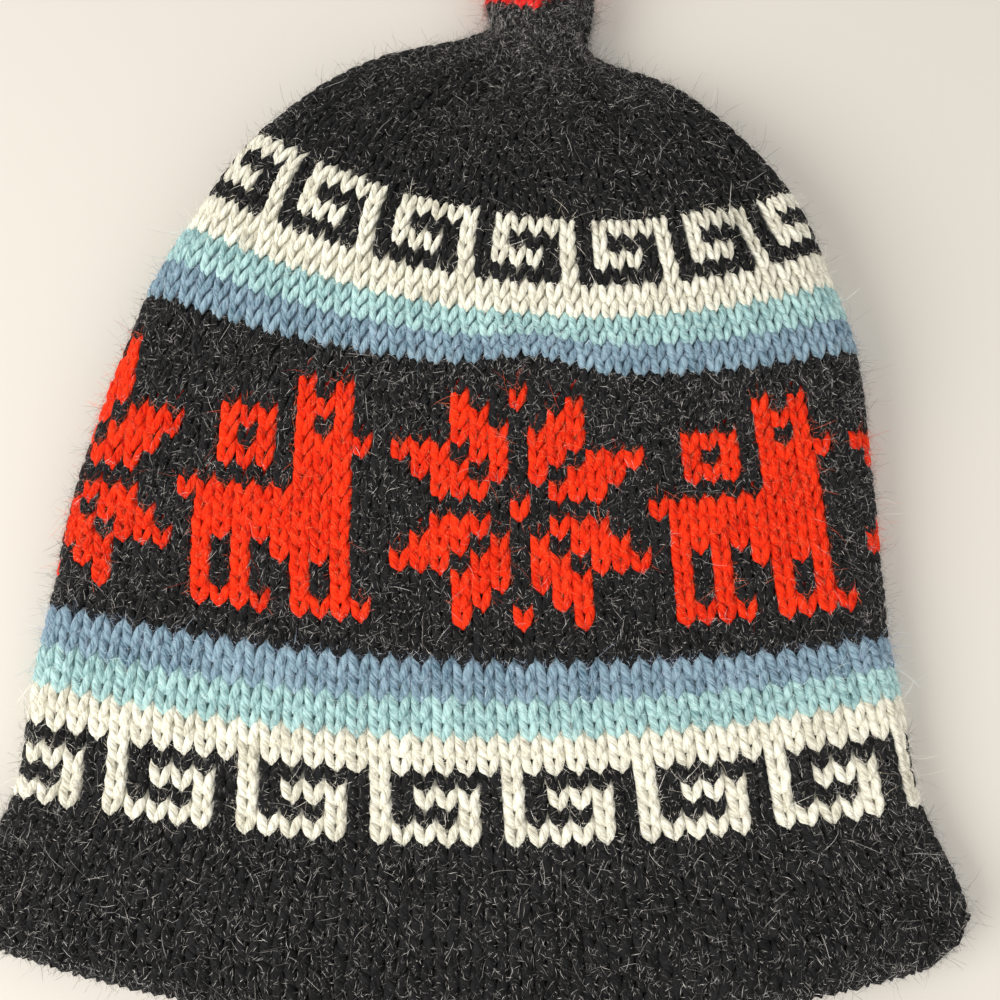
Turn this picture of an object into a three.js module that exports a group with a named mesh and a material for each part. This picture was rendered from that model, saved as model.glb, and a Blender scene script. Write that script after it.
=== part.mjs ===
import * as THREE from "three";

// A knitted hat that lies on its back. The opening is towards -Y, the crown
// towards +Y, and the side that shows is up. All lengths are millimetres.

// Fineness of the facets
const AROUND = 60;
const OUTLINE_STEPS = 24;
const EDGE_STEPS = 8;
const NUDGE = 0.02;
const BEND_WEIGHT = 0.8;

// Thickness of the knit, the gap that neighbouring solids keep, and the height
// of a knitted round
const WALL = 4;
const BRIM_WALL = 4.6;
const GAP = 0.3;
const ROW_HEIGHT = 4.6;
const HALF_GAP_ROWS = GAP / 2 / ROW_HEIGHT;

// The brim's rounded edge. reach is how far its shoulders lie from where the
// edge begins, and skin how deep they lie, as shares of half and of the wall.
const EDGE_SHOULDER = { reach: 0.72, skin: 0.15 };
const FELTED = 0.95;

// Yarn colours
const BLACK = 0x2a2a2c;
const CREAM = 0xe6e1d2;
const AQUA = 0x8fc4c8;
const BLUE = 0x6a8bb8;
const RED = 0xd8381c;

// The form, as sections along the knitting. row counts knitted rounds from the
// brim's edge. left and right are where the section's sides lie along X. yLeft,
// yMid and yRight say how the round bows. top is its height in the middle, edge
// the radius of its rounded sides and gather the depth of the furrows round it.
const SECTIONS = [
  { row: 0, left: -137, right: 117, yLeft: -117, yMid: -138, yRight: -122, top: 17, edge: 7.5, gather: 0 },
  { row: 1, left: -142, right: 122, yLeft: -113, yMid: -133.5, yRight: -118, top: 17.5, edge: 7.5, gather: 0 },
  { row: 3, left: -144, right: 125, yLeft: -104, yMid: -124.5, yRight: -109, top: 18, edge: 7.5, gather: 0 },
  { row: 10, left: -133, right: 115, yLeft: -79, yMid: -92, yRight: -82, top: 19, edge: 8, gather: 0 },
  { row: 16, left: -131, right: 112, yLeft: -49, yMid: -65, yRight: -53, top: 21, edge: 8.5, gather: 0 },
  { row: 20, left: -128, right: 110, yLeft: -28, yMid: -45, yRight: -37, top: 23, edge: 9, gather: 0 },
  { row: 28, left: -123, right: 109, yLeft: 9, yMid: -7, yRight: 3, top: 29, edge: 10, gather: 0 },
  { row: 37, left: -106, right: 106, yLeft: 65, yMid: 32, yRight: 46, top: 40, edge: 14, gather: 0 },
  { row: 41, left: -95, right: 100, yLeft: 86, yMid: 47, yRight: 66, top: 45, edge: 16, gather: 0 },
  { row: 47, left: -75, right: 89, yLeft: 117, yMid: 75, yRight: 97, top: 48, edge: 17, gather: 0.4 },
  { row: 54, left: -44, right: 60, yLeft: 143, yMid: 107, yRight: 131, top: 42, edge: 16, gather: 1.6 },
  { row: 61, left: -5.5, right: 30.5, yLeft: 160, yMid: 143, yRight: 151, top: 26, edge: 11, gather: 1.2 },
  { row: 65, left: -5, right: 31, yLeft: 171, yMid: 161, yRight: 168, top: 25, edge: 11, gather: 0.6 },
  { row: 70, left: -3, right: 31, yLeft: 189, yMid: 183, yRight: 189, top: 24, edge: 11, gather: 0.4 },
  { row: 72, left: 2, right: 27, yLeft: 195, yMid: 192, yRight: 195, top: 21, edge: 9, gather: 0.4 },
];
const FURROWS = 11;

// Hollows pressed into the knit, each with its middle and its reach. side is
// the place across the hat, from -1 at the left edge to 1 at the right edge.
const DENTS = [
  { row: 36, side: 0.1, depth: 3, rows: 2.2, width: 0.16 },
  { row: 55, side: 0.5, depth: 4, rows: 3.2, width: 0.14 },
  { row: 57, side: -0.35, depth: 2.5, rows: 2.6, width: 0.14 },
  { row: 46, side: 0.8, depth: 3, rows: 2.6, width: 0.12 },
];

// The bands of the knitted wall, from the brim to the crown
const BANDS = [
  { name: "brim", from: 0, to: 10, steps: 4, wall: BRIM_WALL, colour: BLACK, rolled: true },
  { name: "lower_key_band", from: 10, to: 16, steps: 3, wall: WALL, colour: CREAM },
  { name: "lower_stripes", from: 16, to: 20, steps: 2, wall: WALL, colour: AQUA },
  { name: "figure_band", from: 20, to: 37, steps: 7, wall: WALL, colour: BLACK },
  { name: "upper_stripes", from: 37, to: 41, steps: 2, wall: WALL, colour: BLUE },
  { name: "upper_key_band", from: 41, to: 47, steps: 3, wall: WALL, colour: CREAM },
  { name: "crown", from: 47, to: 61, steps: 8, wall: WALL, colour: BLACK },
];

// The topknot, a stub that continues the crown and ends in a rounded tip
const KNOT_STEPS = 4;
const TIP_ROWS = [66, 68, 70, 71, 71.6, 72];
const TIP_SHARE = [1, 1, 0.96, 0.84, 0.62, 0.3];
const KNOT = { stemFrom: 61, stemTo: 66 };

// A smooth curve through one column of the table
function column(name, row) {
  let i = 0;
  while (i < SECTIONS.length - 2 && row > SECTIONS[i + 1].row) {
    i += 1;
  }
  const slope = (k) => {
    const before = SECTIONS[Math.max(k - 1, 0)];
    const after = SECTIONS[Math.min(k + 1, SECTIONS.length - 1)];
    return (after[name] - before[name]) / (after.row - before.row);
  };
  const a = SECTIONS[i];
  const b = SECTIONS[i + 1];
  const span = b.row - a.row;
  const t = THREE.MathUtils.clamp((row - a.row) / span, 0, 1);
  const t2 = t * t;
  const t3 = t2 * t;
  const ends = a[name] * (2 * t3 - 3 * t2 + 1) + b[name] * (3 * t2 - 2 * t3);
  const slopes = slope(i) * (t3 - 2 * t2 + t) + slope(i + 1) * (t3 - t2);
  return ends + slopes * span;
}

// The outline of one section as [across, up] points, from the middle of its
// flat underside to the right, over the top and back
function outline(row) {
  const half = (column("right", row) - column("left", row)) / 2;
  const edge = column("edge", row);
  const core = half - edge;
  const arch = column("top", row) - 2 * edge;
  const top = (s) => {
    const lean = Math.atan((2 * arch * s) / core);
    const up = edge + arch * (1 - s * s);
    return [core * s + edge * Math.sin(lean), up + edge * Math.cos(lean)];
  };
  const right = [];
  for (let i = 0; i < OUTLINE_STEPS; i += 1) {
    right.push([(core * i) / OUTLINE_STEPS, 0]);
  }
  const lastLean = Math.atan((2 * arch) / core);
  const sweep = Math.PI - lastLean;
  for (let i = 0; i < EDGE_STEPS; i += 1) {
    const angle = -Math.PI / 2 + (sweep * i) / EDGE_STEPS;
    right.push([core + edge * Math.cos(angle), edge + edge * Math.sin(angle)]);
  }
  for (let i = OUTLINE_STEPS; i >= 0; i -= 1) {
    right.push(top(i / OUTLINE_STEPS));
  }
  const left = right.slice(0, -1).reverse().map(([x, z]) => [-x, z]);
  return right.concat(left);
}

// Points along an outline, closer together where it bends. Each is [across, up,
// share of the way round].
function spread(points, count) {
  const along = [0];
  const measure = [0];
  const step = (i) => [points[i][0] - points[i - 1][0], points[i][1] - points[i - 1][1]];
  for (let i = 1; i < points.length; i += 1) {
    const [dx, dz] = step(i);
    along.push(along[i - 1] + Math.hypot(dx, dz));
  }
  const total = along[along.length - 1];
  for (let i = 1; i < points.length; i += 1) {
    const [dx, dz] = step(i);
    const [ex, ez] = i + 1 < points.length ? step(i + 1) : step(1);
    const turn = Math.abs(Math.atan2(dx * ez - dz * ex, dx * ex + dz * ez));
    const bend = (BEND_WEIGHT * turn) / (2 * Math.PI);
    measure.push(measure[i - 1] + (along[i] - along[i - 1]) / total + bend);
  }
  const whole = measure[measure.length - 1];
  const result = [];
  let k = 1;
  for (let i = 0; i < count; i += 1) {
    const at = (whole * i) / count;
    while (measure[k] < at) {
      k += 1;
    }
    const t = (at - measure[k - 1]) / (measure[k] - measure[k - 1]);
    const x = points[k - 1][0] + t * (points[k][0] - points[k - 1][0]);
    const z = points[k - 1][1] + t * (points[k][1] - points[k - 1][1]);
    const share = (along[k - 1] + t * (along[k] - along[k - 1])) / total;
    result.push([x, z, share]);
  }
  return result;
}

// How far the knit is pressed in at one place
function pressed(row, side, share, up) {
  const furrow = (1 - Math.cos(2 * Math.PI * FURROWS * share)) / 2;
  let depth = column("gather", row) * furrow;
  if (up) {
    for (const dent of DENTS) {
      const a = (row - dent.row) / dent.rows;
      const b = (side - dent.side) / dent.width;
      depth += dent.depth * Math.exp(-a * a - b * b);
    }
  }
  return depth;
}

// One round of the smooth form, before anything is pressed in
function smoothRound(row) {
  const left = column("left", row);
  const right = column("right", row);
  const half = (right - left) / 2;
  const yMid = column("yMid", row);
  const lean = (column("yRight", row) - column("yLeft", row)) / 2;
  const bow = (column("yRight", row) + column("yLeft", row)) / 2 - yMid;
  return spread(outline(row), AROUND).map(([x, z, share]) => {
    const side = x / half;
    const y = yMid + lean * side + bow * side * side;
    const point = new THREE.Vector3((left + right) / 2 + x, y, z);
    return { point, side, share };
  });
}

// A round of the knit, this far in from its outer face
function round(row, depth) {
  const here = smoothRound(row);
  const above = smoothRound(row + NUDGE);
  const below = smoothRound(row - NUDGE);
  const waist = column("edge", row);
  return here.map(({ point, side, share }, i) => {
    const next = here[(i + 1) % AROUND].point;
    const last = here[(i + AROUND - 1) % AROUND].point;
    const across = new THREE.Vector3().subVectors(next, last);
    const along = new THREE.Vector3().subVectors(above[i].point, below[i].point);
    const out = along.cross(across).normalize();
    const inset = depth + pressed(row, side, share, point.z > waist);
    return point.clone().addScaledVector(out, -inset);
  });
}

// A body lofted through rings. A closed loft returns to its first ring, and an
// open one is capped at both ends.
function solid(rings, closed) {
  const points = rings.flat();
  const faces = [];
  const last = closed ? rings.length : rings.length - 1;
  for (let k = 0; k < last; k += 1) {
    for (let i = 0; i < AROUND; i += 1) {
      const a = k * AROUND + i;
      const b = k * AROUND + ((i + 1) % AROUND);
      const c = ((k + 1) % rings.length) * AROUND + ((i + 1) % AROUND);
      const d = ((k + 1) % rings.length) * AROUND + i;
      faces.push(a, c, b, a, d, c);
    }
  }
  if (!closed) {
    [0, rings.length - 1].forEach((k, end) => {
      const middle = new THREE.Vector3();
      rings[k].forEach((p) => middle.addScaledVector(p, 1 / AROUND));
      points.push(middle);
      for (let i = 0; i < AROUND; i += 1) {
        const a = k * AROUND + i;
        const b = k * AROUND + ((i + 1) % AROUND);
        faces.push(points.length - 1, end ? b : a, end ? a : b);
      }
    });
  }
  const geometry = new THREE.BufferGeometry();
  geometry.setFromPoints(points);
  geometry.setIndex(faces);
  geometry.computeVertexNormals();
  return geometry;
}

// A band of the wall. Its rings go up the outer face and down the inner one,
// and a rolled band also has a rounded edge at its start.
function bandGeometry(band) {
  const soft = band.rolled ? band.wall / 2 / ROW_HEIGHT : 0;
  const from = band.from + (band.rolled ? soft : HALF_GAP_ROWS);
  const to = band.to - HALF_GAP_ROWS;
  const rows = [];
  for (let i = 0; i <= band.steps; i += 1) {
    rows.push(from + ((to - from) * i) / band.steps);
  }
  const rings = rows.map((row) => round(row, 0));
  rows.reverse().forEach((row) => rings.push(round(row, band.wall)));
  if (band.rolled) {
    const shoulder = from - EDGE_SHOULDER.reach * soft;
    const skin = EDGE_SHOULDER.skin * band.wall;
    rings.push(round(shoulder, band.wall - skin));
    rings.push(round(band.from, band.wall / 2));
    rings.push(round(shoulder, skin));
  }
  return solid(rings, true);
}

// The topknot's stem, a solid stub
function stemGeometry() {
  const from = KNOT.stemFrom + HALF_GAP_ROWS;
  const to = KNOT.stemTo - HALF_GAP_ROWS;
  const rings = [];
  for (let i = 0; i <= KNOT_STEPS; i += 1) {
    rings.push(round(from + ((to - from) * i) / KNOT_STEPS, 0));
  }
  return solid(rings, false);
}

// The topknot's tip, whose rounds draw in towards their own middles
function tipGeometry() {
  const rings = TIP_ROWS.map((row, k) => {
    const ring = round(k === 0 ? row + HALF_GAP_ROWS : row, 0);
    const middle = new THREE.Vector3();
    ring.forEach((p) => middle.addScaledVector(p, 1 / AROUND));
    return ring.map((p) => p.clone().sub(middle).multiplyScalar(TIP_SHARE[k]).add(middle));
  });
  return solid(rings, false);
}

// A mesh with its own name and its own matt material
function named(name, geometry, colour) {
  const material = new THREE.MeshStandardMaterial({ color: colour, roughness: FELTED });
  const mesh = new THREE.Mesh(geometry, material);
  mesh.name = name;
  return mesh;
}

const hat = new THREE.Group();
hat.name = "chullo_hat";
for (const band of BANDS) {
  hat.add(named(band.name, bandGeometry(band), band.colour));
}
hat.add(named("topknot_stem", stemGeometry(), BLACK));
hat.add(named("topknot_tip", tipGeometry(), RED));

// The origin is under the middle of the whole hat
const box = new THREE.Box3().setFromObject(hat);
const middle = box.getCenter(new THREE.Vector3());
for (const mesh of hat.children) {
  mesh.geometry.translate(-middle.x, -middle.y, -box.min.z);
}

export default hat;
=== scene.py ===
import math

import bpy
import numpy as np
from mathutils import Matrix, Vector


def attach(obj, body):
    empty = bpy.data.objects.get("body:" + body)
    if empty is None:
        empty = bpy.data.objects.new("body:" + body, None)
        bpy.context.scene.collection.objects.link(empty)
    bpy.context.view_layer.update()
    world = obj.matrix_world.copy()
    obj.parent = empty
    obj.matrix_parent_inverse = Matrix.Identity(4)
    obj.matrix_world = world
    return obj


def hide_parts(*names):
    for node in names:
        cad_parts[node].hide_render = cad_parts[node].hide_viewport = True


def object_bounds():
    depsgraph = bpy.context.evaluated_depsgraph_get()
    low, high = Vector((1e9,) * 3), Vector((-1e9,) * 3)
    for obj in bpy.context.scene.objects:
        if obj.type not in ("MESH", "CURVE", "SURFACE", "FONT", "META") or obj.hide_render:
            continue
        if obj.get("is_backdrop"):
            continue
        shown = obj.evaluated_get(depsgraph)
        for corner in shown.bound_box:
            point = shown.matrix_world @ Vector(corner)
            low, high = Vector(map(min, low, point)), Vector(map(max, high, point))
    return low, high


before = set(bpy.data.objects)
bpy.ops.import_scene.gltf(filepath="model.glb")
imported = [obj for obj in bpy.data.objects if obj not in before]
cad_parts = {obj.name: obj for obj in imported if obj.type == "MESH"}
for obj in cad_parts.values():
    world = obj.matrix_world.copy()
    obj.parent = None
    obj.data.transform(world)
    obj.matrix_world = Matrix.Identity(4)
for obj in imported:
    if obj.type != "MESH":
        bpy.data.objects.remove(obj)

CAD_LOW, CAD_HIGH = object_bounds()
MM = 0.001
rng = np.random.default_rng(84)

# The form, the same sections as the solids: rounds counted from the brim's edge,
# the sides along X, the bow of the round, its height, the radius of its sides
# and the depth of the furrows. Millimetres.
COLUMNS = "row left right y_left y_mid y_right top edge gather".split()
SECTIONS = np.array([
    (0, -137, 117, -117, -138, -122, 17, 7.5, 0),
    (1, -142, 122, -113, -133.5, -118, 17.5, 7.5, 0),
    (3, -144, 125, -104, -124.5, -109, 18, 7.5, 0),
    (10, -133, 115, -79, -92, -82, 19, 8, 0),
    (16, -131, 112, -49, -65, -53, 21, 8.5, 0),
    (20, -128, 110, -28, -45, -37, 23, 9, 0),
    (28, -123, 109, 9, -7, 3, 29, 10, 0),
    (37, -106, 106, 65, 32, 46, 40, 14, 0),
    (41, -95, 100, 86, 47, 66, 45, 16, 0),
    (47, -75, 89, 117, 75, 97, 48, 17, 0.4),
    (54, -44, 60, 143, 107, 131, 42, 16, 1.6),
    (61, -5.5, 30.5, 160, 143, 151, 26, 11, 1.2),
    (65, -5, 31, 171, 161, 168, 25, 11, 0.6),
    (70, -3, 31, 189, 183, 189, 24, 11, 0.4),
    (72, 2, 27, 195, 192, 195, 21, 9, 0.4),
])
FURROWS = 11
# row, side, depth, reach in rows, reach across
DENTS = (
    (36, 0.1, 3, 2.2, 0.16),
    (55, 0.5, 4, 3.2, 0.14),
    (57, -0.35, 2.5, 2.6, 0.14),
    (46, 0.8, 3, 2.6, 0.12),
)
# Where the knit is drawn up along itself: row, side, how far, reach in rows, across
PUCKERS = (
    (36.2, 0.08, 4.5, 3.0, 0.14),
    (32, -0.1, 2.2, 5.0, 0.45),
)
TIP_ROWS = (0, 68, 70, 71, 71.6, 72)
TIP_SHARE = (1, 1, 0.96, 0.84, 0.62, 0.3)
WALL, BRIM_WALL = 4.0, 4.6
ROW_HEIGHT = 4.6

# Rounds where the yarn or the shaping changes
LOWER_KEY, LOWER_STRIPES, FIGURES, UPPER_STRIPES = 10, 16, 20, 37
UPPER_KEY, CROWN, STEM, TIP, END = 41, 47, 61, 66, 72
STITCHES = 84
BLACK, CREAM, AQUA, BLUE, RED, KNOT_RED = range(6)

# The charts, top row first. The star is its upper half, and its rows count out
# from the middle.
LOWER_CHART = ("######", "######", "#.....", "#.###.", "#...#.", "#####.")
UPPER_CHART = (".#####", ".#...#", ".###.#", ".....#", "######", "######")
STAR = (
    "......#......", "..###...###..", ".###.#.#.###.", "###.##.##.###",
    "...###.###...", "...##...##...", "...#..#..#...",
)
LLAMA = (
    "......#.#.", "......###.", "..###.#.#.", "..#.#.####", "..###.###.",
    "......###.", "#########.", ".########.", ".########.", ".#.#.####.",
    ".#.#..#.#.", ".#.#..#.#.", ".####.####",
)
KEY_PHASE = -1
STAR_STARTS = (-30, -6, 18)
LLAMA_STARTS = (-17, 7, 31, 43)
FIGURE_BOTTOM, FIGURE_ROWS = 22, 13
STRIPE_ROWS = 2
# The topknot's red begins at this row on its left, and so many rows later for each
# unit to the right of the limit
RED_FROM, RED_SLANT, RED_LIMIT = 64.6, 2.2, -0.15


def column(name, rows):
    """A smooth curve through one column of the table."""
    at, v = SECTIONS[:, 0], SECTIONS[:, COLUMNS.index(name)]
    n = len(at)
    before, after = np.maximum(np.arange(n) - 1, 0), np.minimum(np.arange(n) + 1, n - 1)
    slope = (v[after] - v[before]) / (at[after] - at[before])
    i = np.clip(np.searchsorted(at, rows, side="left") - 1, 0, n - 2)
    span = at[i + 1] - at[i]
    t = np.clip((rows - at[i]) / span, 0, 1)
    ends = v[i] * (2 * t**3 - 3 * t**2 + 1) + v[i + 1] * (3 * t**2 - 2 * t**3)
    bends = slope[i] * (t**3 - 2 * t**2 + t) + slope[i + 1] * (t**3 - t**2)
    return ends + bends * span


# The form is worked out once, on a fine grid of rounds and shares of the way
# round: 0 under the middle, a quarter at the right side, a half on top.
ROW_STEP, AROUND = 0.125, 840
TOP_STEPS, SIDE_STEPS = 60, 40
HEM_ROWS = 5
ROWS = np.arange(-HEM_ROWS, END + ROW_STEP / 2, ROW_STEP)
FIRST = int(HEM_ROWS / ROW_STEP)
perimeter = np.zeros(len(ROWS))


def outline(row):
    """Points of one section, how far round each is, half the width and the middle."""

    def one(name):
        return float(column(name, np.array([row]))[0])

    half, edge = (one("right") - one("left")) / 2, one("edge")
    core, arch = half - edge, one("top") - 2 * edge
    s = np.linspace(0, 1, TOP_STEPS)
    lean = np.arctan(2 * arch * s / core)
    top = np.stack([core * s + edge * np.sin(lean), edge + arch * (1 - s * s) + edge * np.cos(lean)], 1)
    angle = np.linspace(-np.pi / 2, np.pi / 2 - lean[-1], SIDE_STEPS)
    side = np.stack([core + edge * np.cos(angle), edge + edge * np.sin(angle)], 1)
    right = np.concatenate([[[0, 0]], side, top[::-1][1:]])
    left = right[::-1][1:] * [-1, 1]
    points = np.concatenate([right, left])
    along = np.concatenate([[0], np.cumsum(np.hypot(*np.diff(points, axis=0).T))])
    return points, along, half, (one("left") + one("right")) / 2


def make_form():
    """The outside of the knit on the grid, and the way out at each point."""
    share = np.linspace(0, 1, AROUND + 1)
    count = len(ROWS) - FIRST
    smooth = np.zeros((count, AROUND + 1, 3))
    side = np.zeros((count, AROUND + 1))
    rows = ROWS[FIRST:]
    low, mid, high = (column(n, rows) for n in ("y_left", "y_mid", "y_right"))
    edges = column("edge", rows)
    for i, row in enumerate(rows):
        points, along, half, middle = outline(row)
        perimeter[FIRST + i] = along[-1]
        x = np.interp(share * along[-1], along, points[:, 0])
        z = np.interp(share * along[-1], along, points[:, 1])
        side[i] = x / half
        lean, bow = (high[i] - low[i]) / 2, (high[i] + low[i]) / 2 - mid[i]
        smooth[i] = np.stack([middle + x, mid[i] + lean * side[i] + bow * side[i] ** 2, z], 1)
    perimeter[:FIRST] = perimeter[FIRST]
    across = np.roll(smooth[:, :-1], -1, 1) - np.roll(smooth[:, :-1], 1, 1)
    across = np.concatenate([across, across[:, :1]], 1)
    along = np.gradient(smooth, axis=0)
    out = np.cross(along, across)
    out /= np.linalg.norm(out, axis=2, keepdims=True)
    # Furrows and dents
    depth = column("gather", rows)[:, None] * (0.5 - 0.5 * np.cos(2 * np.pi * FURROWS * share))
    upper = smooth[:, :, 2] > edges[:, None]
    for row, at, deep, reach, width in DENTS:
        a, b = (rows[:, None] - row) / reach, (side - at) / width
        depth = depth + upper * deep * np.exp(-a * a - b * b)
    place = smooth - out * depth[:, :, None]
    drawn = np.zeros(depth.shape)
    for row, at, far, reach, width in PUCKERS:
        a, b = (rows[:, None] - row) / reach, (side - at) / width
        drawn = drawn + upper * far * np.exp(-a * a - b * b)
    place = place + along / np.linalg.norm(along, axis=2, keepdims=True) * drawn[:, :, None]
    # The tip closes towards its own middle
    shrink = np.interp(rows, TIP_ROWS, TIP_SHARE)[:, None, None]
    middle = place[:, :-1].mean(1, keepdims=True)
    place = middle + (place - middle) * shrink
    along = np.gradient(place, axis=0)
    across = np.roll(place[:, :-1], -1, 1) - np.roll(place[:, :-1], 1, 1)
    across = np.concatenate([across, across[:, :1]], 1)
    out = np.cross(along, across)
    out /= np.linalg.norm(out, axis=2, keepdims=True)
    # Below the edge the knit turns over the rim and goes up inside the brim
    way = along[0] / np.linalg.norm(along[0], axis=1, keepdims=True)
    r = BRIM_WALL / 2
    hem_place, hem_out = [], []
    for row in ROWS[:FIRST]:
        far = -row * ROW_HEIGHT
        phi = min(far / r, np.pi)
        normal = out[0] * math.cos(phi) - way * math.sin(phi)
        point = place[0] - out[0] * r + normal * r + way * max(far - np.pi * r, 0)
        hem_place.append(point)
        hem_out.append(normal)
    return np.concatenate([hem_place, place]), np.concatenate([hem_out, out])


FORM, OUT = make_form()
perimeter[:] = np.where(ROWS > TIP, perimeter * np.interp(ROWS, TIP_ROWS, TIP_SHARE), perimeter)
low = FORM[FIRST:].reshape(-1, 3).min(0)
high = FORM[FIRST:].reshape(-1, 3).max(0)
SHIFT = (np.array(CAD_LOW) + np.array(CAD_HIGH)) / 2 / MM - (low + high) / 2
SHIFT[2] = 0


def at(row, share, height=0.0):
    """The point this far out from the form, and the way out there."""
    i = np.clip((np.asarray(row, float) + HEM_ROWS) / ROW_STEP, 0, len(ROWS) - 1.001)
    j = np.mod(share, 1) * AROUND
    i0, j0 = i.astype(int), np.minimum(j.astype(int), AROUND - 1)
    a, b = (i - i0)[..., None], (j - j0)[..., None]

    def mix(g):
        near = g[i0, j0] * (1 - a) + g[i0 + 1, j0] * a
        far = g[i0, j0 + 1] * (1 - a) + g[i0 + 1, j0 + 1] * a
        return near * (1 - b) + far * b

    out = mix(OUT)
    return mix(FORM) + out * np.asarray(height)[..., None], out


# Stitches in a round, from the round where each count begins
STITCH_STEPS = (
    (47, 78), (50, 66), (53, 54), (56, 42), (58, 32), (60, 24), (61, 20), (70, 16), (71, 10),
)
# How far, in stitches, the middle star's wale stands right of the ridge
WALE_ROWS = (0, 12.9, 22.4, 28.4, 34.4, 44.9, 61)
WALE_OFFSETS = (3.4, 3.16, 2.70, 2.23, 1.2, -1.25, -2.0)
# How much closer together the wales lie on top than underneath
WALE_SQUEEZE = (0.004, 0.004, 0.009, 0.009, 0.009, 0.002, 0.0)


def stitches_in(row):
    """How many stitches a round has. It falls as the crown narrows."""
    count = STITCHES
    for start, number in STITCH_STEPS:
        if row >= start:
            count = number
    return count


def share_of(row, k, count):
    """The share of the way round at which stitch k stands."""
    turn = k / count + np.interp(row, WALE_ROWS, WALE_OFFSETS) / STITCHES
    return 0.5 - turn + np.interp(row, WALE_ROWS, WALE_SQUEEZE) * math.sin(2 * math.pi * turn)


def stitch_of(row, share):
    """The stitch that stands at a share of the way round."""
    turn = 0.5 - share
    turn += np.interp(row, WALE_ROWS, WALE_SQUEEZE) * math.sin(2 * math.pi * turn)
    return round(turn * STITCHES - np.interp(row, WALE_ROWS, WALE_OFFSETS))


def yarn_at(row, k):
    """The yarn of stitch k, counted from the middle star's own wale."""
    if row < LOWER_KEY or FIGURES <= row < FIGURE_BOTTOM:
        return BLACK
    if row < LOWER_STRIPES:
        line = LOWER_CHART[LOWER_STRIPES - 1 - row]
        return CREAM if line[(k - KEY_PHASE) % len(line)] == "#" else BLACK
    if row < FIGURES:
        return AQUA if row < LOWER_STRIPES + STRIPE_ROWS else BLUE
    if row < FIGURE_BOTTOM + FIGURE_ROWS:
        for start in STAR_STARTS:
            i = (k - start) % STITCHES
            line = STAR[abs(row - FIGURE_BOTTOM - FIGURE_ROWS // 2)]
            if i < len(line):
                return RED if line[i] == "#" else BLACK
        for start in LLAMA_STARTS:
            i = (k - start) % STITCHES
            line = LLAMA[FIGURE_BOTTOM + FIGURE_ROWS - 1 - row]
            if i < len(line):
                return RED if line[i] == "#" else BLACK
        return BLACK
    if row < UPPER_STRIPES:
        return BLACK
    if row < UPPER_KEY:
        return BLUE if row < UPPER_STRIPES + STRIPE_ROWS else AQUA
    if row < CROWN:
        line = UPPER_CHART[CROWN - 1 - row]
        return CREAM if line[(k - KEY_PHASE) % len(line)] == "#" else BLACK
    return BLACK


def knot_yarn(row, side):
    """The topknot turns red, sooner on its left than on its right."""
    return KNOT_RED if row > RED_FROM + RED_SLANT * max(0.0, side - RED_LIMIT) else BLACK


# Materials


def nodes_of(name):
    """A new material, its tree and its surface node."""
    m = bpy.data.materials.new(name)
    m.use_nodes = True
    tree = m.node_tree
    return m, tree, tree.nodes["Principled BSDF"]


def link(tree, a, b):
    tree.links.new(a, b)


def math_node(tree, kind, a, b=None):
    """One step of arithmetic on sockets or plain numbers."""
    n = tree.nodes.new("ShaderNodeMath")
    n.operation = kind
    for socket, value in zip(n.inputs, (a, b)):
        if value is None:
            continue
        if isinstance(value, (int, float)):
            socket.default_value = value
        else:
            link(tree, value, socket)
    return n.outputs[0]


# The twist of the plies, the fibres across and along them and how they are wound
TWIST, FIBRES_ACROSS, FIBRES_ALONG, WOUND = 5.0, 9.0, 1.6, 0.5
# What each part adds to the shade of the wool, and where the shade begins. The plies' part is painted
# shade in the grooves between the plies and painted highlight on their crests
FIBRE_SHADE, PLY_GROOVE_PAINTED_SHADE, TONE_SHADE, SHADE_START = 2.3, 0.12, 0.3, 0.95
SHADE_ENDS = (0.02, 0.62)
PLY_RELIEF, RELIEF_STRENGTH, RELIEF_DEPTH = 0.6, 0.7, 0.0009
WOOL_ROUGH, WOOL_SPECULAR, SHEEN_ROUGH = 0.92, 0.12, 0.5
HAIR_ROUGH, HAIR_SPECULAR = 0.6, 0.4


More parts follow.
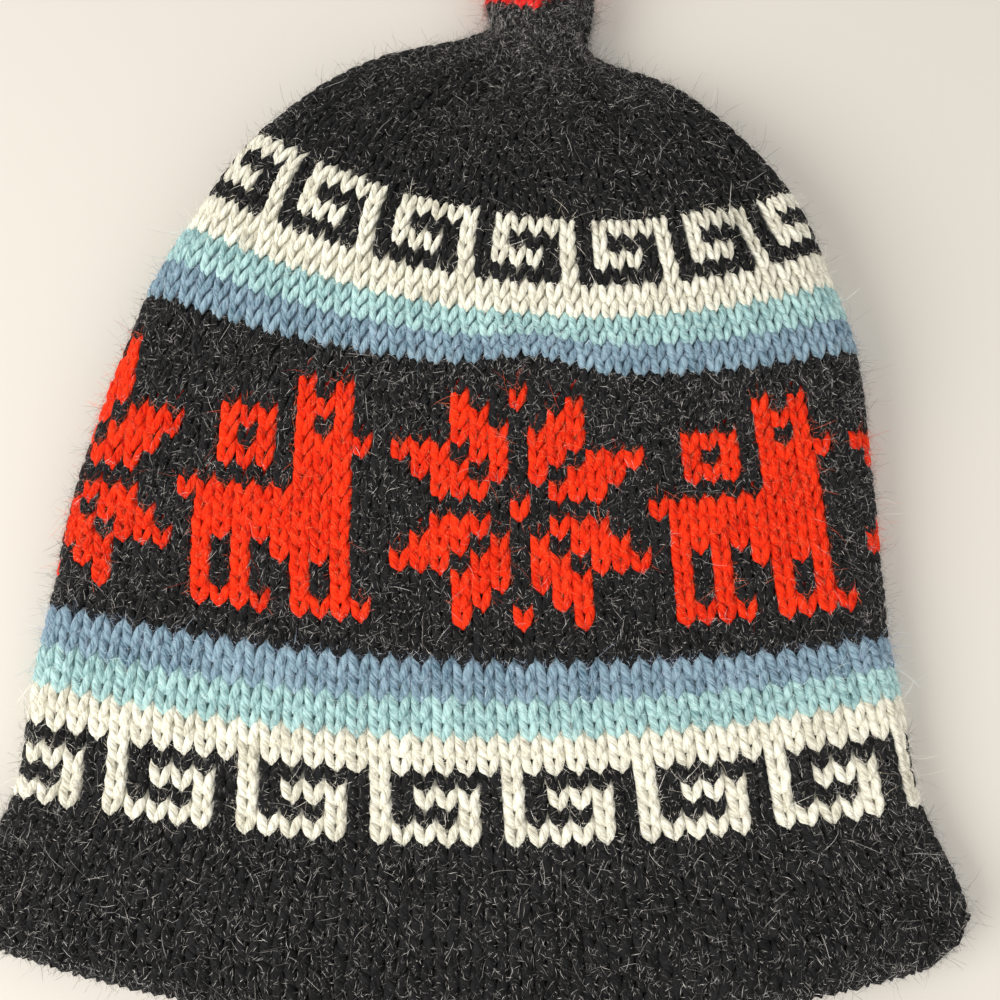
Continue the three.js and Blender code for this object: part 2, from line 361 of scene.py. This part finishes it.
def yarn_material(name, dark, light, sheen, sheen_tint):
    """Two twisted plies of hairy wool. The yarn map runs round and along each leg."""
    m, tree, bsdf = nodes_of(name)
    uv = tree.nodes.new("ShaderNodeUVMap")
    uv.uv_map = "yarn"
    split = tree.nodes.new("ShaderNodeSeparateXYZ")
    link(tree, uv.outputs[0], split.inputs[0])
    turn = math_node(tree, "MULTIPLY", split.outputs[0], 2 * math.pi)
    twist = math_node(tree, "MULTIPLY", split.outputs[1], TWIST)
    wave = math_node(tree, "COSINE", math_node(tree, "ADD", turn, twist))
    strand = math_node(tree, "ABSOLUTE", wave)
    # Fibres: noise drawn out along the strand
    slant = math_node(tree, "MULTIPLY", split.outputs[1], WOUND)
    wound = math_node(tree, "ADD", split.outputs[0], slant)
    joined = tree.nodes.new("ShaderNodeCombineXYZ")
    link(tree, math_node(tree, "MULTIPLY", wound, FIBRES_ACROSS), joined.inputs[0])
    link(tree, math_node(tree, "MULTIPLY", split.outputs[1], FIBRES_ALONG), joined.inputs[1])
    fibre = tree.nodes.new("ShaderNodeTexNoise")
    fibre.inputs["Scale"].default_value = 1.05
    fibre.inputs["Detail"].default_value = 4.0
    fibre.inputs["Roughness"].default_value = 0.7
    link(tree, joined.outputs[0], fibre.inputs["Vector"])
    tone = tree.nodes.new("ShaderNodeAttribute")
    tone.attribute_name = "tone"
    # The ply wave in the colour darkens the grooves between the plies and lightens their crests: painted
    # shade and painted highlight
    mix = math_node(tree, "ADD", math_node(tree, "MULTIPLY", fibre.outputs[0], FIBRE_SHADE),
                    math_node(tree, "MULTIPLY", strand, PLY_GROOVE_PAINTED_SHADE))
    mix = math_node(tree, "ADD", mix, math_node(tree, "MULTIPLY", tone.outputs["Fac"], TONE_SHADE))
    ramp = tree.nodes.new("ShaderNodeValToRGB")
    for end, place, colour in zip(ramp.color_ramp.elements, SHADE_ENDS, (dark, light)):
        end.position = place
        end.color = (*colour, 1)
    link(tree, math_node(tree, "SUBTRACT", mix, SHADE_START), ramp.inputs[0])
    link(tree, ramp.outputs[0], bsdf.inputs["Base Color"])
    bump = tree.nodes.new("ShaderNodeBump")
    bump.inputs["Strength"].default_value = RELIEF_STRENGTH
    bump.inputs["Distance"].default_value = RELIEF_DEPTH
    height = math_node(tree, "ADD", math_node(tree, "MULTIPLY", strand, PLY_RELIEF), fibre.outputs[0])
    link(tree, height, bump.inputs["Height"])
    link(tree, bump.outputs[0], bsdf.inputs["Normal"])
    bsdf.inputs["Roughness"].default_value = WOOL_ROUGH
    bsdf.inputs["Specular IOR Level"].default_value = WOOL_SPECULAR
    bsdf.inputs["Sheen Weight"].default_value = sheen
    bsdf.inputs["Sheen Roughness"].default_value = SHEEN_ROUGH
    bsdf.inputs["Sheen Tint"].default_value = (*sheen_tint, 1)
    return m


def hair_material(name, root, tip):
    """A single hair of one shade, set by its tone between the root and tip colours."""
    m, tree, bsdf = nodes_of(name)
    tone = tree.nodes.new("ShaderNodeAttribute")
    tone.attribute_name = "tone"
    ramp = tree.nodes.new("ShaderNodeValToRGB")
    ramp.color_ramp.elements[0].color = (*root, 1)
    ramp.color_ramp.elements[1].color = (*tip, 1)
    link(tree, tone.outputs["Fac"], ramp.inputs[0])
    link(tree, ramp.outputs[0], bsdf.inputs["Base Color"])
    bsdf.inputs["Roughness"].default_value = HAIR_ROUGH
    bsdf.inputs["Specular IOR Level"].default_value = HAIR_SPECULAR
    return m


YARNS = [
    yarn_material("black_wool", (0.002, 0.002, 0.002), (0.016, 0.016, 0.017), 0.02, (0.8, 0.8, 0.85)),
    yarn_material("cream_wool", (0.46, 0.43, 0.33), (0.93, 0.92, 0.80), 0.10, (1, 1, 0.95)),
    yarn_material("aqua_wool", (0.12, 0.25, 0.27), (0.48, 0.71, 0.70), 0.10, (0.8, 1, 1)),
    yarn_material("blue_wool", (0.045, 0.10, 0.15), (0.30, 0.43, 0.52), 0.10, (0.8, 0.9, 1)),
    yarn_material("red_wool", (0.40, 0.004, 0.001), (1.0, 0.042, 0.007), 0.02, (1, 0.4, 0.2)),
    yarn_material("knot_wool", (0.40, 0.003, 0.003), (1.0, 0.022, 0.022), 0.02, (1, 0.4, 0.3)),
]
HAIRS = [
    # The pale end of the black hairs is partly pale stray fibres and partly painted glint of light on
    # shiny fibres
    hair_material("black_hair", (0.006, 0.006, 0.006), (0.74, 0.72, 0.69)),
    hair_material("cream_hair", (0.56, 0.50, 0.38), (1.0, 0.98, 0.92)),
    hair_material("aqua_hair", (0.16, 0.32, 0.35), (0.80, 0.93, 0.92)),
    hair_material("blue_hair", (0.06, 0.12, 0.23), (0.60, 0.70, 0.84)),
    hair_material("red_hair", (0.36, 0.006, 0.002), (1.0, 0.20, 0.07)),
    hair_material("knot_hair", (0.36, 0.004, 0.003), (1.0, 0.12, 0.08)),
]

# Meshes from arrays


class Pile:
    """Vertices and faces gathered for one piece, with their maps.

    Each strand or hair has a cell of its own in the bake map, and the wall
    behind the stitches has the strip above the cells.
    """

    STRIP = 0.14
    STRIP_USED, STRIP_START = 0.9, 0.95
    MARGIN = 0.08
    LOWEST = 0.05

    def __init__(self):
        self.points, self.tones = [], []
        self.faces = {3: [], 4: []}
        self.slots = {3: [], 4: []}
        self.yarn = {3: [], 4: []}
        self.bake = {3: [], 4: []}
        self.cell = {3: [], 4: []}
        self.count, self.cells, self.strip = 0, 0, 0.0

    def add(self, points, tones):
        """Adds vertices and says where they begin."""
        start = self.count
        self.points.append(points)
        self.tones.append(tones)
        self.count += len(points)
        return start

    def take_cells(self, number):
        """The next cells of the bake map."""
        first = self.cells
        self.cells += number
        return first + np.arange(number)

    def face(self, index, slot, yarn, bake, cell):
        """Adds faces with their yarn, their two maps and their cells."""
        n = index.shape[1]
        self.faces[n].append(index)
        self.slots[n].append(slot)
        self.yarn[n].append(yarn)
        self.bake[n].append(bake)
        self.cell[n].append(cell)

    def bake_places(self, n):
        """The bake map of all faces with n corners."""
        local, cell = np.concatenate(self.bake[n]), np.concatenate(self.cell[n])
        across = max(1, math.ceil(math.sqrt(self.cells)))
        inner = self.MARGIN + (1 - 2 * self.MARGIN) * local
        grid = np.stack([cell % across, cell // across], 1)[:, None]
        placed = (grid + inner) / across * [1, 1 - self.strip]
        on_wall = local * [1, self.STRIP_USED * self.strip] + [0, 1 - self.STRIP_START * self.strip]
        return np.where((cell < 0)[:, None, None], on_wall, placed)

    def build(self, name, materials):
        """The object made of all that was added."""
        points = np.concatenate(self.points) + SHIFT
        points[:, 2] = np.maximum(points[:, 2], self.LOWEST)
        loops, starts, slots, yarn, bake, at_loop = [], [], [], [], [], 0
        for n in (3, 4):
            if not self.faces[n]:
                continue
            f = np.concatenate(self.faces[n])
            loops.append(f.ravel())
            starts.append(at_loop + n * np.arange(len(f)))
            slots.append(np.concatenate(self.slots[n]))
            yarn.append(np.concatenate(self.yarn[n]).reshape(-1, 2))
            bake.append(self.bake_places(n).reshape(-1, 2))
            at_loop += f.size
        mesh = bpy.data.meshes.new(name)
        mesh.vertices.add(len(points))
        mesh.vertices.foreach_set("co", (points * MM).astype(np.float32).ravel())
        loops, starts = np.concatenate(loops), np.concatenate(starts)
        mesh.loops.add(len(loops))
        mesh.loops.foreach_set("vertex_index", loops.astype(np.int32))
        mesh.polygons.add(len(starts))
        mesh.polygons.foreach_set("loop_start", starts.astype(np.int32))
        mesh.polygons.foreach_set("material_index", np.concatenate(slots).astype(np.int32))
        mesh.polygons.foreach_set("use_smooth", np.ones(len(starts), bool))
        for layer, places in (("yarn", yarn), ("OFBake", bake)):
            uv = mesh.uv_layers.new(name=layer)
            uv.data.foreach_set("uv", np.concatenate(places).astype(np.float32).ravel())
        tone = mesh.attributes.new("tone", "FLOAT", "POINT")
        tone.data.foreach_set("value", np.concatenate(self.tones).astype(np.float32))
        mesh.update(calc_edges=True)
        mesh.validate()
        for m in materials:
            mesh.materials.append(m)
        o = bpy.data.objects.new(name, mesh)
        bpy.context.collection.objects.link(o)
        return o


# One leg of a stitch: across in stitches, along in rows, out in millimetres, and
# its thickness as a share of the full leg, from its foot to its head
LEG_T = np.array([0.0, 0.07, 0.30, 0.62, 0.93, 1.0])
LEG_ACROSS = np.array([0.05, 0.075, 0.175, 0.30, 0.385, 0.40])
LEG_ALONG = np.array([-0.50, -0.40, 0.0, 0.56, 1.08, 1.18])
LEG_OUT = np.array([-1.80, -1.55, -1.15, -1.25, -2.2, -2.5])
LEG_THICK = np.array([0.0, 0.56, 0.98, 1.0, 0.62, 0.0])
LEG_WIDE, LEG_DEEP = 0.225, 1.15
RIM_DEEP = 0.75
LEG_LONG = 1.6
WIDEST_STITCH = 6.6
MID_STITCH = 0.4
# How much single legs stray: across, along, out and in thickness
STRAYING = (0.014, 0.035, 0.08, 0.06)
YARN_LENGTH = 7
TINY = 1e-9
# The wall behind the legs: its depth, the depth of the hem's, the ribs, and its tone, set low as painted
# shade in the gaps between the legs
WALL_FRONT, HEM_BACK, RIB, WALL_PAINTED_SHADE_TONE = 2.1, 2.6, 0.45, 0.15
WALL_STEP, WALL_AROUND = 1.0, 168
PLUG_STEPS, PLUG_AROUND, PLUG_MAP = 12, 84, 20


def tube_faces(sides, rings):
    """Faces of a strand with a pole at each end, with the place of each corner."""
    s = np.arange(sides)
    nxt = (s + 1) % sides
    quads, quad_uv = [], []
    for k in range(rings - 1):
        a, b = 1 + k * sides, 1 + (k + 1) * sides
        quads.append(np.stack([a + s, a + nxt, b + nxt, b + s], 1))
        place = np.empty((sides, 4, 2))
        place[:, :, 0] = np.stack([s, s + 1, s + 1, s], 1) / sides
        place[:, :, 1] = [k + 1, k + 1, k + 2, k + 2]
        quad_uv.append(place)
    tris, tri_uv = [], []
    for pole, k, ring in ((0, 0, 1), (rings * sides + 1, rings - 1, rings)):
        a = 1 + k * sides
        order = (nxt, s) if pole == 0 else (s, nxt)
        turn = (s + 1, s) if pole == 0 else (s, s + 1)
        tris.append(np.stack([np.full(sides, pole), a + order[0], a + order[1]], 1))
        place = np.empty((sides, 3, 2))
        place[:, :, 0] = np.stack([s + 0.5, *turn], 1) / sides
        place[:, :, 1] = [0 if pole == 0 else rings + 1, ring, ring]
        tri_uv.append(place)
    return (np.concatenate(quads), np.concatenate(quad_uv)), (np.concatenate(tris), np.concatenate(tri_uv))


def add_tubes(pile, lines, rings, t, yarn, tone):
    """Strands from their middle lines' ends and their rings."""
    n, m, sides = rings.shape[:3]
    points = np.concatenate([lines[:, :1], rings.reshape(n, m * sides, 3), lines[:, -1:]], 1)
    each = m * sides + 2
    start = pile.add(points.reshape(-1, 3), np.repeat(tone, each)) + each * np.arange(n)
    begin = np.stack([np.zeros(n), rng.random(n) * YARN_LENGTH], 1)[:, None, None]
    cell = pile.take_cells(n)
    for index, place in tube_faces(sides, m):
        along = t[place[:, :, 1].astype(int)]
        bake = np.stack([place[:, :, 0], along], 2)
        yarn_map = (bake * [1, LEG_LONG])[None] + begin
        corners = index.shape[1]
        pile.face(
            (start[:, None, None] + index).reshape(-1, corners),
            np.repeat(yarn, len(index)),
            yarn_map.reshape(-1, corners, 2),
            np.tile(bake, (n, 1, 1)),
            np.repeat(cell, len(index)),
        )


def add_legs(pile, row, share, count, side, yarn, tone, sides, keep):
    """Legs of stitches, as closed tapered strands."""
    n = len(row)
    wide = np.minimum(np.interp(row + MID_STITCH, ROWS, perimeter) / count, WIDEST_STITCH)
    jitter = rng.normal(0, 1, (n, 4))
    lines, outs = [], []
    for i in keep:
        a = side * LEG_ACROSS[i] + STRAYING[0] * jitter[:, 0]
        b = LEG_ALONG[i] + STRAYING[1] * jitter[:, 1]
        c = LEG_OUT[i] + STRAYING[2] * jitter[:, 2]
        p, o = at(row + b, share - a / count, c)
        lines.append(p)
        outs.append(o)
    lines, outs = np.stack(lines, 1), np.stack(outs, 1)
    way = np.gradient(lines, axis=1)
    way /= np.linalg.norm(way, axis=2, keepdims=True) + TINY
    across = np.cross(outs, way)
    across /= np.linalg.norm(across, axis=2, keepdims=True) + TINY
    outs = np.cross(way, across)
    fat = (1 + STRAYING[3] * jitter[:, 3])[:, None] * LEG_THICK[keep][None, :]
    angle = 2 * np.pi * np.arange(sides) / sides
    body = slice(1, len(keep) - 1)
    flat = (fat[:, body] * (wide * LEG_WIDE)[:, None])[..., None, None]
    thin = np.where(row < 1, RIM_DEEP, LEG_DEEP)[:, None]
    deep = (fat[:, body] * thin)[..., None, None]
    rings = (
        lines[:, body, None]
        + flat * across[:, body, None] * np.cos(angle)[:, None]
        + deep * outs[:, body, None] * np.sin(angle)[:, None]
    )
    add_tubes(pile, lines, rings, LEG_T[keep], yarn, tone)


def add_wall(pile, first, last, outer, inner, yarn_of):
    """The closed wall behind the stitches, ribbed inside by the backs of the stitches."""
    rows = np.linspace(first, last, int(math.ceil((last - first) / WALL_STEP)) + 1)
    around = WALL_AROUND
    share = np.arange(around) / around
    r, s = np.meshgrid(rows, share, indexing="ij")
    ribs = RIB * np.cos(np.pi * s * around) * np.cos(2 * np.pi * r)
    a, _ = at(r, s, np.full(r.shape, -outer))
    b, _ = at(r, s, -inner + ribs)
    rings = np.concatenate([a, b[::-1]])
    m = len(rings)
    # The wall's low tone is painted shade, seen in the gaps between the legs
    start = pile.add(rings.reshape(-1, 3), np.full(m * around, WALL_PAINTED_SHADE_TONE))
    k, i = np.meshgrid(np.arange(m), np.arange(around), indexing="ij")
    nk, ni = (k + 1) % m, (i + 1) % around
    quad = np.stack([k * around + i, nk * around + i, nk * around + ni, k * around + ni], -1)
    row_of = np.concatenate([rows, rows[::-1]])
    slots = np.array([yarn_of(x, (y + 0.5) / around) for x in row_of for y in range(around)])
    corners = ((i, k), (i, k + 1), (i + 1, k + 1), (i + 1, k))
    corner = np.stack([np.stack(c, -1) for c in corners], -2).reshape(-1, 4, 2)
    pile.strip = pile.STRIP
    on_wall = np.full(m * around, -1)
    pile.face(start + quad.reshape(-1, 4), slots, corner / 2.0, corner / [around, m], on_wall)


def add_plug(pile, first, last, yarn_of):
    """The closed core of the topknot."""
    steps, around = PLUG_STEPS, PLUG_AROUND
    rows = np.linspace(first, last, steps)
    share = np.arange(around) / around
    r, s = np.meshgrid(rows, share, indexing="ij")
    ring, _ = at(r, s, np.full(r.shape, -WALL_FRONT))
    ends = ring.mean(1)[[0, -1]]
    points = np.concatenate([ends[:1], ring.reshape(-1, 3), ends[1:]])
    # The core's low tone is painted shade, seen in the gaps between the legs
    start = pile.add(points, np.full(len(points), WALL_PAINTED_SHADE_TONE))
    pile.strip = pile.STRIP
    for index, place in tube_faces(around, steps):
        row = rows[np.clip(place[:, :, 1].mean(1).astype(int) - 1, 0, steps - 1)]
        yarn = np.array([yarn_of(x, y) for x, y in zip(row, place[:, :, 0].mean(1))])
        bake = place / [1, steps + 1]
        on_wall = np.full(len(index), -1)
        yarn_map = (place * PLUG_MAP)[:, ::-1]
        pile.face(start + index[:, ::-1], yarn, yarn_map, bake[:, ::-1], on_wall)


def stitch_table(first, last):
    """Row, share of the way round, stitches in the round and yarn of each stitch."""
    out = []
    for row in range(first, last):
        n = stitches_in(row)
        for i in range(n):
            k = i - n // 2
            share = share_of(row + 0.5, k, n)
            if row < CROWN:
                yarn = yarn_at(row, k)
            else:
                yarn = knot_yarn(row, math.sin(2 * math.pi * share)) if row >= STEM else BLACK
            out.append((row, share % 1, n, yarn))
    return np.array(out)


def yarn_behind(row, share):
    """The yarn that a point of the wall or a hair belongs to."""
    whole = int(math.floor(row))
    if whole >= CROWN:
        return knot_yarn(row, math.sin(2 * math.pi * share)) if whole >= STEM else BLACK
    return yarn_at(whole, stitch_of(row, share))


# Sides of a strand and the points kept of it, for stitches in view and underneath
FINE, COARSE = (7, [0, 1, 2, 3, 4, 5]), (5, [0, 1, 3, 4, 5])
SEEN_SLOPE, SEEN_HEM = -0.35, -2
TONE_MEAN, TONE_SPREAD = 0.5, 0.22
WALL_END, PLUG_END = 0.1, 0.05


def knit(name, node, first, last, hem=0):
    """The knit of one solid, with so many rounds of hem inside it."""
    pile = Pile()
    row, share, count, yarn = stitch_table(first - hem, last).T
    yarn = yarn.astype(int)
    tone = np.clip(rng.normal(TONE_MEAN, TONE_SPREAD, len(row)), 0, 1)
    _, out = at(row + 0.5, share)
    shown = (out[:, 2] > SEEN_SLOPE) & (row >= SEEN_HEM)
    for side in (-1, 1):
        for pick, (sides, keep) in ((shown, FINE), (~shown, COARSE)):
            if pick.any():
                where = (row[pick], share[pick], count[pick])
                add_legs(pile, *where, side, yarn[pick], tone[pick], sides, keep)
    if hem:
        add_wall(pile, 0.0, last - WALL_END, WALL_FRONT, HEM_BACK, yarn_behind)
    elif node.startswith("topknot"):
        add_plug(pile, first + PLUG_END, last - PLUG_END, yarn_behind)
    else:
        add_wall(pile, first, last - WALL_END, WALL_FRONT, WALL, yarn_behind)
    o = pile.build(name, YARNS)
    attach(o, "root")
    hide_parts(node)


knit("brim_knit", "brim", 0, LOWER_KEY, hem=4)
knit("lower_key_knit", "lower_key_band", LOWER_KEY, LOWER_STRIPES)
knit("lower_stripes_knit", "lower_stripes", LOWER_STRIPES, FIGURES)
knit("figure_knit", "figure_band", FIGURES, UPPER_STRIPES)
knit("upper_stripes_knit", "upper_stripes", UPPER_STRIPES, UPPER_KEY)
knit("upper_key_knit", "upper_key_band", UPPER_KEY, CROWN)
knit("crown_knit", "crown", CROWN, STEM)
knit("topknot_stem_knit", "topknot_stem", STEM, TIP)
knit("topknot_tip_knit", "topknot_tip", TIP, END)

# The loose hairs, of two kinds: fuzz that lies on the knit and strays that curl
# away from it. Millimetres, and radians for the rise.
FUZZ = dict(length=1.6, width=0.085, rise=0.22, spread=0.9, curl=0.45, segments=2)
STRAY = dict(length=4.8, width=0.055, rise=0.6, spread=2.0, curl=1.25, segments=4)
TUCK, MOVED_UP = 0.2, 0.7
FLANKS, FLANK_SPREAD = (0.25, 0.75), 0.03
FUZZ_ON_FLANKS, STRAYS_ON_FLANKS = 0.05, 0.35
HAIR_ROOTS, RIM_ROWS = (-0.7, 0.15), (-1.6, 0.8)
AHEAD, AHEAD_DEPTH = 0.2, -0.5
RISE_SPREAD, LENGTH_SPREAD, SHORTEST, LONGEST = 0.25, 0.45, 0.7, 2.4
LIE_DOWN, BEND, FACING = 0.2, 0.6, 0.7
WIDTHS = (0.7, 1.3)
DARK_BIAS = 2.6


def hair_places(first, last, number, flanks):
    """Where hairs grow. Few are underneath, and a share of them is on the flanks."""
    row = rng.uniform(first, last, number)
    share = rng.random(number)
    under = (share < TUCK) | (share > 1 - TUCK)
    shown = TUCK + (1 - 2 * TUCK) * rng.random(number)
    share = np.where(under & (rng.random(number) < MOVED_UP), shown, share)
    flank = rng.choice(FLANKS, number) + rng.normal(0, FLANK_SPREAD, number)
    return row, np.where(rng.random(number) < flanks, flank, share)


def add_hairs(pile, row, share, length, width, rise, spread, curl, segments):
    """Hairs of one kind, as ribbons that start in the knit."""
    number = len(row)
    start, out = at(row, share, rng.uniform(*HAIR_ROOTS, number))
    ahead, _ = at(row + AHEAD, share, np.full(number, AHEAD_DEPTH))
    way = ahead - start
    way /= np.linalg.norm(way, axis=1, keepdims=True) + TINY
    across = np.cross(way, out)
    turn = rng.normal(0, spread, number) + np.pi * (rng.random(number) < 0.5)
    climb = np.abs(rng.normal(rise, RISE_SPREAD, number))
    flat = way * np.cos(turn)[:, None] + across * np.sin(turn)[:, None]
    step = flat * np.cos(climb)[:, None] + out * np.sin(climb)[:, None]
    long = rng.lognormal(math.log(length), LENGTH_SPREAD, number)
    long = np.clip(long, SHORTEST, LONGEST * length)
    bend = curl * rng.normal(0, 1, (number, 3)) - out * climb[:, None] * LIE_DOWN
    line = [start]
    for k in range(segments):
        step = step + bend * BEND
        step /= np.linalg.norm(step, axis=1, keepdims=True)
        line.append(line[-1] + step * (long / segments)[:, None])
    line = np.stack(line, 1)
    heading = np.gradient(line, axis=1)
    facing = out[:, None] + FACING * rng.normal(0, 1, (number, 1, 3))
    blade = np.cross(heading, facing)
    blade /= np.linalg.norm(blade, axis=2, keepdims=True) + TINY
    # A hair is a ribbon that comes to a point at both ends
    half = width * rng.uniform(*WIDTHS, (number, 1, 1)) / 2
    middle, edge = line[:, 1:-1], blade[:, 1:-1] * half
    pairs = np.stack([middle - edge, middle + edge], 2).reshape(number, -1, 3)
    points = np.concatenate([line[:, :1], pairs, line[:, -1:]], 1)
    each = points.shape[1]
    yarn = np.array([yarn_behind(r, s) for r, s in zip(row, share)])
    tone = rng.random(number) ** np.where(yarn == BLACK, DARK_BIAS, 1.0)
    begin = pile.add(points.reshape(-1, 3), np.repeat(tone, each)) + each * np.arange(number)
    cell = pile.take_cells(number)
    last = each - 1
    faces = [([0, 2, 1], [(0.5, 0), (1, 1), (0, 1)])]
    for k in range(1, segments - 1):
        a = 2 * k - 1
        faces.append(([a, a + 1, a + 3, a + 2], [(0, k), (1, k), (1, k + 1), (0, k + 1)]))
    point = [(0, segments - 1), (1, segments - 1), (0.5, segments)]
    faces.append(([last - 2, last - 1, last], point))
    for corners, place in faces:
        uv = np.tile(np.array(place) / [1, segments], (number, 1, 1))
        pile.face(begin[:, None] + np.array(corners), yarn, uv, uv, cell)


def halo(name, first, last, fuzz, strays, rim=0):
    """The hairs on a stretch of the hat, with more of them on the brim's rim."""
    pile = Pile()
    add_hairs(pile, *hair_places(first, last, fuzz, FUZZ_ON_FLANKS), **FUZZ)
    add_hairs(pile, *hair_places(first, last, strays, STRAYS_ON_FLANKS), **STRAY)
    if rim:
        add_hairs(pile, rng.uniform(*RIM_ROWS, rim), rng.random(rim), **FUZZ)
    o = pile.build(name, HAIRS)
    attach(o, "root")


halo("lower_halo", -0.6, FIGURES, 58000, 6500, rim=5000)
halo("figure_halo", FIGURES, UPPER_STRIPES, 55000, 5500)
halo("upper_halo", UPPER_STRIPES, END - 0.5, 52000, 6500)

# Floor, light and camera

FLOOR = 3.0
mesh = bpy.data.meshes.new("floor")
corners = [(-FLOOR, -FLOOR, 0), (FLOOR, -FLOOR, 0), (FLOOR, FLOOR, 0), (-FLOOR, FLOOR, 0)]
mesh.from_pydata(corners, [], [(0, 1, 2, 3)])
floor = bpy.data.objects.new("floor", mesh)
bpy.context.collection.objects.link(floor)
floor_material, _, bsdf = nodes_of("pale_floor")
bsdf.inputs["Base Color"].default_value = (0.60, 0.575, 0.53, 1)
bsdf.inputs["Roughness"].default_value = 0.9
mesh.materials.append(floor_material)
floor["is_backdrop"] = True

world = bpy.data.worlds.new("studio")
bpy.context.scene.world = world
world.use_nodes = True
world.node_tree.nodes["Background"].inputs[0].default_value = (1.0, 0.97, 0.93, 1)
world.node_tree.nodes["Background"].inputs[1].default_value = 0.72


def lamp(name, place, size, power, colour):
    """A round soft lamp that looks at the middle of the hat."""
    data = bpy.data.lights.new(name, "AREA")
    data.shape = "DISK"
    data.size, data.energy, data.color = size, power, colour
    o = bpy.data.objects.new(name, data)
    o.location = place
    o.rotation_euler = (-Vector(place)).to_track_quat("-Z", "Y").to_euler()
    bpy.context.collection.objects.link(o)


lamp("window", (-0.75, -0.35, 0.68), 0.7, 11.2, (1.0, 0.97, 0.92))
lamp("fill", (0.6, -0.5, 0.9), 1.0, 4.2, (1.0, 0.98, 0.96))

# The camera looks down from over the brim, as in the photograph
TILT, DISTANCE, FIELD = math.radians(15), 0.3174, math.radians(48)
AIM_HEIGHT = 0.020
AIM = Vector((SHIFT[0] * MM, SHIFT[1] * MM, AIM_HEIGHT))
camera_data = bpy.data.cameras.new("camera")
camera_data.angle = FIELD
camera_data.clip_start = 0.01
camera = bpy.data.objects.new("camera", camera_data)
camera.location = AIM + Vector((0, -math.sin(TILT), math.cos(TILT))) * DISTANCE
camera.rotation_euler = (TILT, 0, 0)
bpy.context.collection.objects.link(camera)
bpy.context.scene.camera = camera
bpy.context.scene.view_settings.view_transform = "Standard"

low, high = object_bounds()
